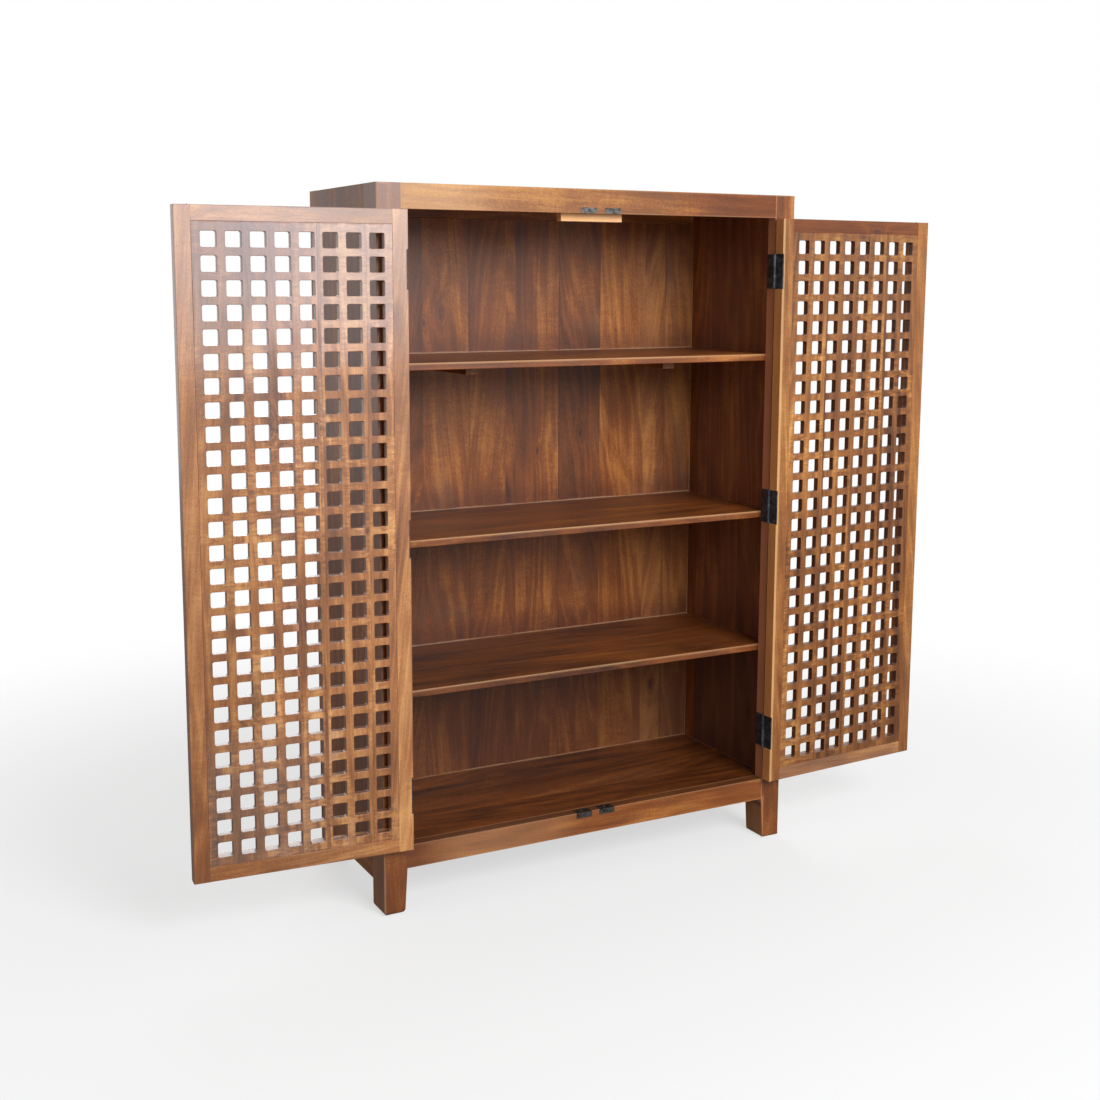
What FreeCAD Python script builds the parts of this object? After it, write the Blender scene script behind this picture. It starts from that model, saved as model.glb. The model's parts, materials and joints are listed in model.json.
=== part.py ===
import FreeCAD, Part
import math
import os
import re

import Sketcher

# A tall book cabinet on four feet: two inset doors with square-holed lattice boards, hung on butt hinges
# and drawn folded back against the posts, as in the photograph. Millimetres, +Z up, +X right, +Y to the
# back. The origin lies on the floor, midway across the whole cabinet with its open doors.

doc = FreeCAD.newDocument("BookCabinet")
sheet = doc.addObject("Spreadsheet::Sheet", "dims")

values = {
    # the case as a whole
    "case_width": 1008,
    "case_depth": 388,
    "case_height": 1500,
    # posts: a full section at the foot, a front flange and a thinner wing above it
    "post_width": 52,
    "post_depth": 64,
    "rear_post_depth": 52,
    "flange_thickness": 26,
    "side_thickness": 22,
    "foot_taper": 6,
    # rails between the posts
    "top_rail_height": 50,
    "foot_height": 97,
    "low_rail_height": 50,
    "side_rail_lift": 62,
    "side_rail_height": 60,
    "back_thickness": 16,
    "tenon_length": 24,
    "tenon_thickness": 10,
    "tenon_shoulder": 6,
    # boards
    "groove_depth": 6,
    "tongue_thickness": 8,
    "top_thickness": 15,
    "bottom_thickness": 15,
    "shelf_thickness": 15,
    "low_shelf_share": 0.2464,
    "middle_shelf_share": 0.4889,
    "high_shelf_share": 0.7667,
    "batten_width": 30,
    "batten_height": 18,
    "batten_setback": 86,
    "batten_back_gap": 20,
    "batten_place_share": 0.244,
    # door stop behind the top rail
    "stop_width": 148,
    "stop_depth": 20,
    "stop_drop": 16,
    "stop_offset": 7,
    # doors
    "door_thickness": 25,
    "door_side_gap": 1.5,
    "door_end_gap": 2,
    "door_meeting_gap": 3,
    "door_open_angle": 184,
    "stile_face": 31,
    "rail_face": 29,
    "lip_face": 46,
    "lattice_thickness": 14,
    "door_tenon_length": 20,
    "door_tenon_thickness": 7,
    # lattice board: square holes in rows and columns, spread between its outermost ones
    "hole_share": 0.664,
    "corner_share": 0.117,
    "first_column_inset": 31.8,
    "first_row_inset": 32.9,
    # wooden pull on the free stile
    "pull_length": 114,
    "pull_width": 18,
    "pull_projection": 26,
    "pull_round": 3,
    "pull_height_share": 0.647,
    "pull_edge_inset": 24,
    "peg_radius": 4,
    "peg_length": 9,
    "peg_spread_share": 0.3,
    # butt hinges
    "hinge_height": 76,
    "hinge_end_inset": 116,
    "hinge_leaf": 2,
    "hinge_closed_gap": 1,
    "hinge_axis_front": 3.4,
    "hinge_reach": 24,
    "knuckle_radius": 4,
    "knuckle_gap": 0.6,
    "knuckle_clearance": 0.4,
    "notch_end_gap": 1,
    "pin_radius": 1.9,
    "pin_running_gap": 0.06,
    "pin_head_radius": 3,
    "pin_head_height": 1.5,
    # screws
    "screw_head_radius": 3.4,
    "screw_radius": 1.8,
    "screw_length": 16,
    "screw_setback": 13,
    "screw_spread_share": 0.33,
    # ball catches in the doors' ends and their striking plates on the rails
    "catch_offset": 29,
    "catch_radius": 5,
    "catch_length": 14,
    "ball_radius": 3,
    "ball_seat_gap": 0.05,
    "ball_rise": 1.6,
    "plate_width": 38,
    "plate_thickness": 1.2,
    "plate_depth": 22,
    "plate_lip": 12,
    "plate_hole_radius": 3.4,
    "plate_screw_spread": 12,
    "plate_screw_radius": 1.5,
    "plate_screw_head": 2.8,
    "plate_screw_length": 11,
    # cuts run past what they cut by this much
    "overrun": 2,
}

lattice_columns = 8
lattice_rows = 27
knuckle_count = 5

for row, (alias, value) in enumerate(values.items(), start=1):
    sheet.set("A%d" % row, alias)
    sheet.set("B%d" % row, str(value))
    sheet.setAlias("B%d" % row, alias)
doc.recompute()

# Places that several pieces share, written once in the named sizes.
derived = {
    "half_width": "(case_width / 2)",
    "opening_half": "(half_width - post_width)",
    "inner_half": "(half_width - side_thickness)",
    "opening_top": "(case_height - top_rail_height)",
    "opening_bottom": "(foot_height + low_rail_height)",
    "axis_inset": "(hinge_leaf + hinge_closed_gap / 2)",
    "axis_across": "(axis_inset - opening_half)",
    "door_inner": "(hinge_axis_front + door_thickness)",
    "fold_past": "(door_open_angle - 180)",
    "door_reach": "(hinge_axis_front + door_inner * cos(fold_past)"
                  " + (axis_inset - door_side_gap) * sin(fold_past))",
    "front": "((door_reach - case_depth) / 2)",
    "rear": "(front + case_depth)",
    "flange_back": "(front + flange_thickness)",
    "back_face": "(rear - back_thickness)",
    "side_front": "(front + post_depth)",
    "side_back": "(rear - rear_post_depth)",
    "side_rail_top": "(side_rail_lift + side_rail_height)",
    "bottom_under": "(opening_bottom - bottom_thickness)",
    "top_under": "(case_height - top_thickness)",
    "opening_rise": "(opening_top - opening_bottom)",
    "axis_back": "(front - hinge_axis_front)",
    "edge_near": "(door_side_gap - axis_inset)",
    "edge_far": "(0 - door_meeting_gap / 2 - axis_across)",
    "door_top": "(opening_top - door_end_gap)",
    "door_bottom": "(opening_bottom + door_end_gap)",
    "door_front": "(hinge_axis_front)",
    "board_front": "(door_inner - lattice_thickness)",
    "notch_floor": "(axis_inset)",
    "leaf_face": "(hinge_closed_gap / 2)",
    "leaf_end": "(hinge_axis_front + hinge_reach)",
    "catch_across": "(0 - catch_offset - axis_across)",
    "catch_back": "(hinge_axis_front + door_thickness / 2)",
    "knuckle_pitch": "(hinge_height / %d)" % knuckle_count,
}


def expand(text):
    # spell a shared place out in the sheet's own names
    previous = None
    while previous != text:
        previous = text
        for name, meaning in derived.items():
            text = re.sub(r"\b%s\b" % name, meaning, text)
    return re.sub(r"\b(%s)\b" % "|".join(values), r"dims.\1", text)


def number(text):
    # the value of such a sum, for a shape that is not bound to the sheet
    return float(sheet.evalExpression(expand(text)))


def bind(obj, **sums):
    for prop, text in sums.items():
        obj.setExpression(prop.replace("__", "."), expand(text))


def place(obj, x="0", y="0", z="0"):
    bind(obj, Placement__Base__x=x, Placement__Base__y=y, Placement__Base__z=z)


def box(name, x, y, z):
    # a box from three (start, end) pairs
    obj = doc.addObject("Part::Box", name)
    place(obj, x[0], y[0], z[0])
    bind(obj, Length="(%s) - (%s)" % (x[1], x[0]))
    bind(obj, Width="(%s) - (%s)" % (y[1], y[0]))
    bind(obj, Height="(%s) - (%s)" % (z[1], z[0]))
    return obj


def cylinder(name, radius, length, x, y, z, axis=None):
    obj = doc.addObject("Part::Cylinder", name)
    bind(obj, Radius=radius, Height=length)
    if axis is not None:
        obj.Placement = FreeCAD.Placement(FreeCAD.Vector(), FreeCAD.Rotation(FreeCAD.Vector(0, 0, 1), axis))
    place(obj, x, y, z)
    return obj


def cone(name, start, end, length, x, y, z, axis):
    obj = doc.addObject("Part::Cone", name)
    bind(obj, Radius1=start, Radius2=end, Height=length)
    obj.Placement = FreeCAD.Placement(FreeCAD.Vector(), FreeCAD.Rotation(FreeCAD.Vector(0, 0, 1), axis))
    place(obj, x, y, z)
    return obj


def fuse(name, shapes):
    obj = doc.addObject("Part::MultiFuse", name)
    obj.Shapes = shapes
    return obj


def gather(name, pieces):
    obj = doc.addObject("Part::Compound", name)
    obj.Links = pieces
    return obj


def cut(name, base, tools):
    tool = tools[0] if len(tools) == 1 else gather(name + "_tools", tools)
    obj = doc.addObject("Part::Cut", name)
    obj.Base = base
    obj.Tool = tool
    return obj


nodes = {}


def node(label, obj):
    obj.Label = label
    nodes[label] = obj
    return obj


def mirrored(label, source):
    # the same piece on the other side of the middle plane
    obj = doc.addObject("Part::Mirroring", label)
    obj.Source = source
    obj.Base = FreeCAD.Vector(0, 0, 0)
    obj.Normal = FreeCAD.Vector(1, 0, 0)
    return node(label, obj)


right_way = FreeCAD.Vector(1, 0, 0)
left_way = FreeCAD.Vector(-1, 0, 0)
down_way = FreeCAD.Vector(0, 0, -1)


def outline_body(name, points, depth, start):
    # a body with one outline in the XZ plane, padded to the back from a given place
    body = doc.addObject("PartDesign::Body", name)
    plane = [item for item in body.Origin.OriginFeatures if item.Role == "XZ_Plane"][0]
    sketch = body.newObject("Sketcher::SketchObject", name + "_outline")
    sketch.AttachmentSupport = [(plane, "")]
    sketch.MapMode = "FlatFace"
    corners = [FreeCAD.Vector(number(x), number(z), 0) for x, z in points]
    for index, corner in enumerate(corners):
        sketch.addGeometry(Part.LineSegment(corner, corners[(index + 1) % len(corners)]))
    for index, (x, z) in enumerate(points):
        after = (index + 1) % len(points)
        sketch.addConstraint(Sketcher.Constraint("Coincident", index, 2, after, 1))
    for index, (x, z) in enumerate(points):
        for kind, text, value in (("DistanceX", x, corners[index].x), ("DistanceY", z, corners[index].y)):
            held = sketch.addConstraint(Sketcher.Constraint(kind, -1, 1, index, 1, value))
            sketch.setExpression("Constraints[%d]" % held, expand(text))
    pad = body.newObject("PartDesign::Pad", name + "_pad")
    pad.Profile = sketch
    bind(pad, Length=depth)
    pad.Reversed = True
    body.Tip = pad
    place(body, y=start)
    return body


# Rails: each is one length of wood with a tenon at both ends, which its posts are cut to take.


def railed(name, x, y, z, tenon_x, tenon_y):
    body = box(name + "_body", x, y, z)
    tenon = box(name + "_tenon", tenon_x, tenon_y,
                ("%s + tenon_shoulder" % z[0], "%s - tenon_shoulder" % z[1]))
    return fuse(name, [body, tenon])


between_posts = ("-opening_half", "opening_half")
into_posts = ("-opening_half - tenon_length", "opening_half + tenon_length")
front_layer = ("front", "flange_back")
front_tenon = ("front + (flange_thickness - tenon_thickness) / 2",
               "front + (flange_thickness + tenon_thickness) / 2")
top_rail_blank = railed("top_rail_blank", between_posts, front_layer,
                        ("opening_top", "case_height"), into_posts, front_tenon)
low_rail_blank = railed("low_rail_blank", between_posts, front_layer,
                        ("foot_height", "opening_bottom"), into_posts, front_tenon)

between_wings = ("-inner_half", "inner_half")
into_wings = ("-inner_half - groove_depth", "inner_half + groove_depth")
back_layer = ("back_face", "rear")
back_tenon = ("back_face + (back_thickness - tongue_thickness) / 2",
              "back_face + (back_thickness + tongue_thickness) / 2")
back_top_rail = node("back_top_rail", railed("back_top_rail", between_wings, back_layer,
                                             ("opening_top", "case_height"), into_wings, back_tenon))
back_low_rail = node("back_low_rail", railed("back_low_rail", between_wings, back_layer,
                                             ("foot_height", "opening_bottom"), into_wings, back_tenon))

side_layer = ("-half_width", "-inner_half")
side_core = ("-half_width + (side_thickness - tongue_thickness) / 2",
             "-half_width + (side_thickness + tongue_thickness) / 2")
between_ends = ("side_front", "side_back")
into_ends = ("side_front - tenon_length", "side_back + tenon_length")
side_rail_blank = railed("side_rail_blank", side_layer, between_ends,
                         ("side_rail_lift", "side_rail_top"), side_core, into_ends)

# Boards: the back, two sides, the top, the bottom and three shelves, let into their neighbours.

back_board = box("back_board", between_wings, back_layer, ("opening_bottom", "opening_top"))
back_tongue = box("back_tongue", into_wings, back_tenon, ("opening_bottom", "opening_top"))
back_panel = node("back_panel", fuse("back_panel", [back_board, back_tongue]))

side_board = box("side_board", side_layer, between_ends, ("side_rail_top", "case_height"))
side_tongue = box("side_tongue", side_core, ("side_front - groove_depth", "side_back + groove_depth"),
                  ("side_rail_top - groove_depth", "case_height"))
side_blank = fuse("side_blank", [side_board, side_tongue])

board_run = ("flange_back", "back_face")
top_panel = node("top_panel", box("top_panel", into_wings, board_run, ("top_under", "case_height")))


def tongued(name, under, top):
    # a board between the wings, with a tongue along the underside of both ends
    board = box(name + "_board", between_wings, board_run, (under, top))
    tongue = box(name + "_tongue", into_wings, board_run, (under, under + " + tongue_thickness"))
    return node(name, fuse(name, [board, tongue]))


bottom_panel = tongued("bottom_panel", "bottom_under", "opening_bottom")
shelves = []
for word in ("low", "middle", "high"):
    level = "opening_bottom + opening_rise * %s_shelf_share" % word
    shelves.append(tongued(word + "_shelf", level + " - shelf_thickness", level))
    pair = []
    for side, sign in (("left", "-"), ("right", "+")):
        middle = "0 %s case_width * batten_place_share" % sign
        pair.append(box("%s_%s_batten" % (word, side),
                        (middle + " - batten_width / 2", middle + " + batten_width / 2"),
                        ("flange_back + batten_setback", "back_face - batten_back_gap"),
                        (level + " - shelf_thickness - batten_height", level + " - shelf_thickness")))
    node(word + "_shelf_battens", gather(word + "_shelf_battens", pair))

node("door_stop", box("door_stop",
                      ("0 - stop_offset - stop_width / 2", "stop_width / 2 - stop_offset"),
                      ("flange_back", "flange_back + stop_depth"),
                      ("opening_top - stop_drop", "top_under")))

# Hinges, drawn in the closed door's own frame: x runs from the pin across the door, y from the pin to
# the back, z from the floor. The frame leaf stays on the post, the door leaf turns with the door.

hinge_levels = ("door_bottom + hinge_end_inset",
                "(door_bottom + door_top) / 2",
                "door_top - hinge_end_inset")
frame_leaves = []
door_leaves = []
frame_screws = []
door_screws = []
pins = []
notches = []
for order, level in enumerate(hinge_levels, start=1):
    low = "%s - hinge_height / 2" % level
    high = "%s + hinge_height / 2" % level
    tag = "hinge%d" % order
    frame_plate = box(tag + "_frame_plate", ("-axis_inset", "-leaf_face"), ("0", "leaf_end"), (low, high))
    door_plate = box(tag + "_door_plate", ("leaf_face", "axis_inset"), ("0", "leaf_end"), (low, high))
    knuckles = {"frame": [], "door": []}
    reliefs = {"frame": [], "door": []}
    for part in range(knuckle_count):
        owner, other = ("frame", "door") if part % 2 == 0 else ("door", "frame")
        first = part == 0
        last = part == knuckle_count - 1
        foot = "%s + knuckle_pitch * %d" % (low, part)
        trim = "0" if first else "knuckle_gap / 2"
        trims = "knuckle_gap / 2" if first or last else "knuckle_gap"
        knuckles[owner].append(cylinder("%s_knuckle%d" % (tag, part), "knuckle_radius",
                                        "knuckle_pitch - " + trims, "0", "0", "%s + %s" % (foot, trim)))
        before = "overrun" if first else "0"
        beyond = "overrun" if first or last else "0"
        reliefs[other].append(cylinder("%s_relief%d" % (tag, part), "knuckle_radius + knuckle_clearance",
                                       "knuckle_pitch + " + beyond, "0", "0", "%s - %s" % (foot, before)))
    pin_rod = cylinder(tag + "_pin_rod", "pin_radius", "hinge_height", "0", "0", low)
    pin_head = cylinder(tag + "_pin_head", "pin_head_radius", "pin_head_height", "0", "0", high)
    pin_tail = cylinder(tag + "_pin_tail", "pin_head_radius", "pin_head_height", "0", "0",
                        low + " - pin_head_height")
    pins.append(fuse(tag + "_pin", [pin_rod, pin_head, pin_tail]))
    pin_bore = cylinder(tag + "_pin_bore", "pin_radius + pin_running_gap", "hinge_height + 2 * overrun",
                        "0", "0", low + " - overrun")
    for spread, where in (("-", "low"), ("+", "high"), ("+ 0 *", "middle")):
        height = "%s %s hinge_height * screw_spread_share" % (level, spread)
        back = "hinge_axis_front + screw_setback"
        for owner, way, face, axis in (("frame", "-", "-leaf_face", left_way),
                                       ("door", "+", "leaf_face", right_way)):
            head = cone("%s_%s_head_%s" % (tag, owner, where), "screw_head_radius", "screw_radius",
                        "hinge_leaf", face, back, height, axis)
            shank = cylinder("%s_%s_shank_%s" % (tag, owner, where), "screw_radius",
                             "screw_length - hinge_leaf", "%s %s hinge_leaf" % (face, way), back, height, axis)
            screw = fuse("%s_%s_screw_%s" % (tag, owner, where), [head, shank])
            (frame_screws if owner == "frame" else door_screws).append(screw)
    bare_frame = cut(tag + "_frame_bare", frame_plate, reliefs["frame"])
    bare_door = cut(tag + "_door_bare", door_plate, reliefs["door"])
    solid_frame = fuse(tag + "_frame_solid", [bare_frame] + knuckles["frame"])
    solid_door = fuse(tag + "_door_solid", [bare_door] + knuckles["door"])
    frame_leaves.append(cut(tag + "_frame_leaf", solid_frame, [pin_rod] + frame_screws[-3:]))
    door_leaves.append(cut(tag + "_door_leaf", solid_door, [pin_bore] + door_screws[-3:]))
    notches.append(box(tag + "_notch", ("edge_near - overrun", "notch_floor"),
                       ("door_front - overrun", "door_inner + overrun"),
                       (low + " - notch_end_gap", high + " + notch_end_gap")))


def on_frame(obj):
    # the closed door's frame carried to the left post's pin line
    place(obj, "axis_across", "axis_back")
    return obj


def on_door(obj):
    # the same, folded open about the pin line
    obj.Placement = FreeCAD.Placement(FreeCAD.Vector(), FreeCAD.Rotation(down_way, 0))
    bind(obj, Placement__Rotation__Angle="door_open_angle")
    place(obj, "axis_across", "axis_back")
    return obj


def pair_of(name, obj):
    mirrored("right_" + name, node("left_" + name, obj))
    return obj


pair_of("frame_leaves", on_frame(gather("left_frame_leaves", frame_leaves)))
pair_of("hinge_pins", on_frame(gather("left_hinge_pins", pins)))
left_frame_screws = on_frame(gather("left_frame_screws", frame_screws))
pair_of("frame_screws", left_frame_screws)
pair_of("door_leaves", on_door(gather("left_door_leaves", door_leaves)))
pair_of("door_screws", on_door(gather("left_door_screws", door_screws)))

# Posts: an outline with the tapered foot, hollowed behind the flange, then cut for what is let in.

post_points = [("-half_width", "0"),
               ("-opening_half - foot_taper", "0"),
               ("-opening_half", "foot_height"),
               ("-opening_half", "case_height"),
               ("-half_width", "case_height")]
front_post_body = outline_body("front_post_outline", post_points, "post_depth", "front")
wing_hollow = box("wing_hollow", ("-inner_half", "-opening_half + overrun"),
                  ("flange_back", "side_front + overrun"),
                  ("bottom_under", "case_height + overrun"))
front_post = cut("left_front_post", front_post_body,
                 [wing_hollow, top_rail_blank, low_rail_blank, side_rail_blank, side_tongue,
                  bottom_panel, top_panel, left_frame_screws] + shelves)
pair_of("front_post", front_post)

rear_post_body = outline_body("rear_post_outline", post_points, "rear_post_depth", "side_back")
rear_hollow = box("rear_hollow", ("-inner_half", "-opening_half + overrun"),
                  ("side_back - overrun", "rear + overrun"),
                  ("foot_height", "case_height + overrun"))
rear_post = cut("left_rear_post", rear_post_body,
                [rear_hollow, side_rail_blank, side_tongue, bottom_panel, top_panel,
                 back_top_rail, back_low_rail, back_panel] + shelves)
pair_of("rear_post", rear_post)

side_rail = cut("left_side_rail", side_rail_blank, [side_tongue])
pair_of("side_rail", side_rail)
side_panel = cut("left_side_panel", side_blank, [bottom_panel, top_panel] + shelves)
pair_of("side_panel", side_panel)

# Striking plates: an angle of sheet metal let into the rail's edge with a lip down or up its front.


def striking_plate(name, side, face, way):
    # face is the rail's edge, way is the direction from it into the rail
    middle = "0 %s catch_offset" % side
    inner = "%s %s plate_thickness" % (face, way)
    outer = "%s %s plate_lip" % (face, way)
    levels = (face, inner) if way == "+" else (inner, face)
    lip_levels = (face, outer) if way == "+" else (outer, face)
    across = (middle + " - plate_width / 2", middle + " + plate_width / 2")
    leg = box(name + "_leg", across, ("front", "front + plate_depth"), levels)
    lip = box(name + "_lip", across, ("front - plate_thickness", "front"), lip_levels)
    angle = fuse(name + "_angle", [leg, lip])
    ball_hole = cylinder(name + "_ball_hole", "plate_hole_radius", "plate_thickness + 2 * overrun",
                         middle, "front + door_thickness / 2",
                         ("%s - overrun" % levels[0]))
    lip_hole = cylinder(name + "_lip_hole", "plate_hole_radius", "plate_thickness + overrun",
                        middle, "front", "(%s + %s) / 2" % lip_levels, FreeCAD.Vector(0, -1, 0))
    screws = []
    head_way = FreeCAD.Vector(0, 0, 1) if way == "+" else FreeCAD.Vector(0, 0, -1)
    for word, shift in (("near", "-"), ("far", "+")):
        across_screw = "%s %s plate_screw_spread" % (middle, shift)
        head = cone("%s_head_%s" % (name, word), "plate_screw_head", "plate_screw_radius",
                    "plate_thickness", across_screw, "front + door_thickness / 2", face, head_way)
        shank = cylinder("%s_shank_%s" % (name, word), "plate_screw_radius",
                         "plate_screw_length - plate_thickness", across_screw,
                         "front + door_thickness / 2", inner, head_way)
        screws.append(fuse("%s_screw_%s" % (name, word), [head, shank]))
    return cut(name, angle, [ball_hole, lip_hole] + screws), leg, screws


plates = {"top": [], "low": []}
legs = {"top": [], "low": []}
plate_screws = {"top": [], "low": []}
for level, face, way in (("top", "opening_top", "+"), ("low", "opening_bottom", "-")):
    for word, side in (("left", "-"), ("right", "+")):
        plate, leg, screws = striking_plate("%s_%s_plate" % (level, word), side, face, way)
        plates[level].append(plate)
        legs[level].append(leg)
        plate_screws[level] += screws
    node(level + "_striking_plates", gather(level + "_striking_plates", plates[level]))
    node(level + "_plate_screws", gather(level + "_plate_screws", plate_screws[level]))

node("top_rail", cut("top_rail", top_rail_blank, legs["top"] + plate_screws["top"]))
node("low_rail", cut("low_rail", low_rail_blank, legs["low"] + plate_screws["low"]))

# Doors, drawn closed: stiles and rails with a lip round the outer face, and the lattice board behind it.

outer_layer = ("door_front", "board_front")
inner_layer = ("board_front", "door_inner")
door_rise = ("door_bottom", "door_top")


def stile(name, start, way):
    ends = {"lip": "%s %s lip_face" % (start, way), "face": "%s %s stile_face" % (start, way)}
    spans = {key: (start, end) if way == "+" else (end, start) for key, end in ends.items()}
    lip = box(name + "_lip", spans["lip"], outer_layer, door_rise)
    back = box(name + "_back", spans["face"], inner_layer, door_rise)
    return fuse(name, [lip, back])


def door_rail(name, start, way):
    ends = {"lip": "%s %s lip_face" % (start, way), "face": "%s %s rail_face" % (start, way)}
    spans = {key: (start, end) if way == "+" else (end, start) for key, end in ends.items()}
    lip = box(name + "_lip", ("edge_near + lip_face", "edge_far - lip_face"), outer_layer, spans["lip"])
    back = box(name + "_back", ("edge_near + stile_face", "edge_far - stile_face"), inner_layer,
               spans["face"])
    tenon = box(name + "_tenon",
                ("edge_near + stile_face - door_tenon_length", "edge_far - stile_face + door_tenon_length"),
                ("(board_front + door_inner - door_tenon_thickness) / 2",
                 "(board_front + door_inner + door_tenon_thickness) / 2"),
                ("%s + tenon_shoulder" % spans["face"][0], "%s - tenon_shoulder" % spans["face"][1]))
    return fuse(name, [lip, back, tenon])


def ball_catch(name, end, way):
    # end is the door's end face, way is the direction into the door
    barrel_foot = end if way == "+" else "%s - catch_length" % end
    barrel = cylinder(name + "_barrel", "catch_radius", "catch_length", "catch_across", "catch_back",
                      barrel_foot)
    centre = "%s %s (ball_radius - ball_rise)" % (end, way)
    bore_length = "2 * ball_radius - ball_rise + overrun"
    bore_foot = ("%s - overrun" % end) if way == "+" else "%s - (2 * ball_radius - ball_rise)" % end
    bore = cylinder(name + "_bore", "ball_radius + ball_seat_gap", bore_length, "catch_across",
                    "catch_back", bore_foot)
    ball = doc.addObject("Part::Sphere", name + "_ball")
    bind(ball, Radius="ball_radius")
    place(ball, "catch_across", "catch_back", centre)
    return barrel, cut(name, barrel, [bore]), ball


low_barrel, low_catch, low_ball = ball_catch("low_catch", "door_bottom", "+")
top_barrel, top_catch, top_ball = ball_catch("top_catch", "door_top", "-")

pull_middle = "door_bottom + (door_top - door_bottom) * pull_height_share"
pull_across = "edge_far - pull_edge_inset"
pull_bar = box("pull_bar", (pull_across + " - pull_width / 2", pull_across + " + pull_width / 2"),
               ("door_front - pull_projection", "door_front"),
               (pull_middle + " - pull_length / 2", pull_middle + " + pull_length / 2"))
doc.recompute()
pull_grip = doc.addObject("Part::Fillet", "pull_grip")
pull_grip.Base = pull_bar
outer_edges = []
for index, edge in enumerate(pull_bar.Shape.Edges, start=1):
    if edge.BoundBox.YMin < pull_bar.Shape.BoundBox.YMax - edge.Tolerance:
        outer_edges.append((index, number("pull_round"), number("pull_round")))
pull_grip.Edges = outer_edges
pegs = []
for word, sign in (("low", "-"), ("high", "+")):
    pegs.append(cylinder("pull_peg_" + word, "peg_radius", "peg_length", pull_across, "door_front",
                         "%s %s pull_length * peg_spread_share" % (pull_middle, sign),
                         FreeCAD.Vector(0, 1, 0)))

door_rail_low = door_rail("door_rail_low", "door_bottom", "+")
door_rail_top = door_rail("door_rail_top", "door_top", "-")
hinge_stile_blank = stile("hinge_stile_blank", "edge_near", "+")
free_stile_blank = stile("free_stile_blank", "edge_far", "-")
hinge_stile = cut("left_hinge_stile", hinge_stile_blank,
                  notches + door_screws + [door_rail_low, door_rail_top])
free_stile = cut("left_free_stile", free_stile_blank,
                 [door_rail_low, door_rail_top, low_barrel, top_barrel] + pegs)
pair_of("hinge_stile", on_door(hinge_stile))
pair_of("free_stile", on_door(free_stile))
pair_of("bottom_rail", on_door(cut("left_bottom_rail", door_rail_low, [low_barrel])))
pair_of("top_rail", on_door(cut("left_top_rail", door_rail_top, [top_barrel])))
pair_of("pull", on_door(fuse("left_pull", [pull_grip] + pegs)))
pair_of("ball_catches", on_door(gather("left_ball_catches", [low_catch, top_catch])))
pair_of("catch_balls", on_door(gather("left_catch_balls", [low_ball, top_ball])))

# The lattice board: one face with every hole in it, given its thickness. Its sizes are read off the sheet.

board_left = number("edge_near + stile_face")
board_right = number("edge_far - stile_face")
board_low = number("door_bottom + rail_face")
board_high = number("door_top - rail_face")
board_depth = number("board_front")
first_column = board_left + number("first_column_inset")
first_row = board_low + number("first_row_inset")
column_pitch = (board_right - number("first_column_inset") - first_column) / (lattice_columns - 1)
row_pitch = (board_high - number("first_row_inset") - first_row) / (lattice_rows - 1)
hole = number("hole_share") * min(column_pitch, row_pitch)


def ring(x_low, x_high, z_low, z_high, corner):
    # a rectangle in the board's front plane, with rounded corners where a radius is given
    def at(x, z):
        return FreeCAD.Vector(x, board_depth, z)

    if corner == 0:
        return Part.makePolygon([at(x_low, z_low), at(x_high, z_low), at(x_high, z_high),
                                 at(x_low, z_high), at(x_low, z_low)])
    inset = corner * (1 - math.sqrt(2) / 2)
    edges = []
    runs = [((x_low + corner, z_low), (x_high - corner, z_low), (x_high - inset, z_low + inset)),
            ((x_high, z_low + corner), (x_high, z_high - corner), (x_high - inset, z_high - inset)),
            ((x_high - corner, z_high), (x_low + corner, z_high), (x_low + inset, z_high - inset)),
            ((x_low, z_high - corner), (x_low, z_low + corner), (x_low + inset, z_low + inset))]
    for index, (start, end, bend) in enumerate(runs):
        following = runs[(index + 1) % len(runs)][0]
        edges.append(Part.LineSegment(at(*start), at(*end)).toShape())
        edges.append(Part.Arc(at(*end), at(*bend), at(*following)).toShape())
    return Part.Wire(edges)


rings = [ring(board_left, board_right, board_low, board_high, 0)]
for column in range(lattice_columns):
    x = first_column + column * column_pitch
    for level in range(lattice_rows):
        z = first_row + level * row_pitch
        rings.append(ring(x - hole / 2, x + hole / 2, z - hole / 2, z + hole / 2,
                          hole * number("corner_share")))
holed = Part.Face(rings, "Part::FaceMakerBullseye")
lattice = doc.addObject("Part::Feature", "left_lattice")
lattice.Shape = holed.extrude(FreeCAD.Vector(0, number("lattice_thickness"), 0))
pair_of("lattice", on_door(lattice))

doc.recompute()

# Every object must have rebuilt, and every piece must be whole, before anything is written.

broken = [item.Name for item in doc.Objects if "Invalid" in item.State or "Error" in item.State]
if broken:
    raise RuntimeError("objects that failed to rebuild: %s" % ", ".join(broken))
os.makedirs("parts", exist_ok=True)
for label, obj in nodes.items():
    if obj.Shape.isNull() or not obj.Shape.isValid() or not obj.Shape.Solids:
        raise RuntimeError("piece without a valid solid: %s" % label)
for label, obj in nodes.items():
    obj.Shape.exportStep("parts/%s.step" % label)
whole = Part.makeCompound([obj.Shape for obj in nodes.values()]).BoundBox
print("pieces", len(nodes), "solids", sum(len(obj.Shape.Solids) for obj in nodes.values()))
print("box", [round(value, 3) for value in (whole.XMin, whole.YMin, whole.ZMin,
                                           whole.XMax, whole.YMax, whole.ZMax)])
print("pin line", round(number("axis_across"), 4), round(number("axis_back"), 4))
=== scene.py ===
import bpy
import bmesh
import json
import math
from mathutils import Matrix, Vector


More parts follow.
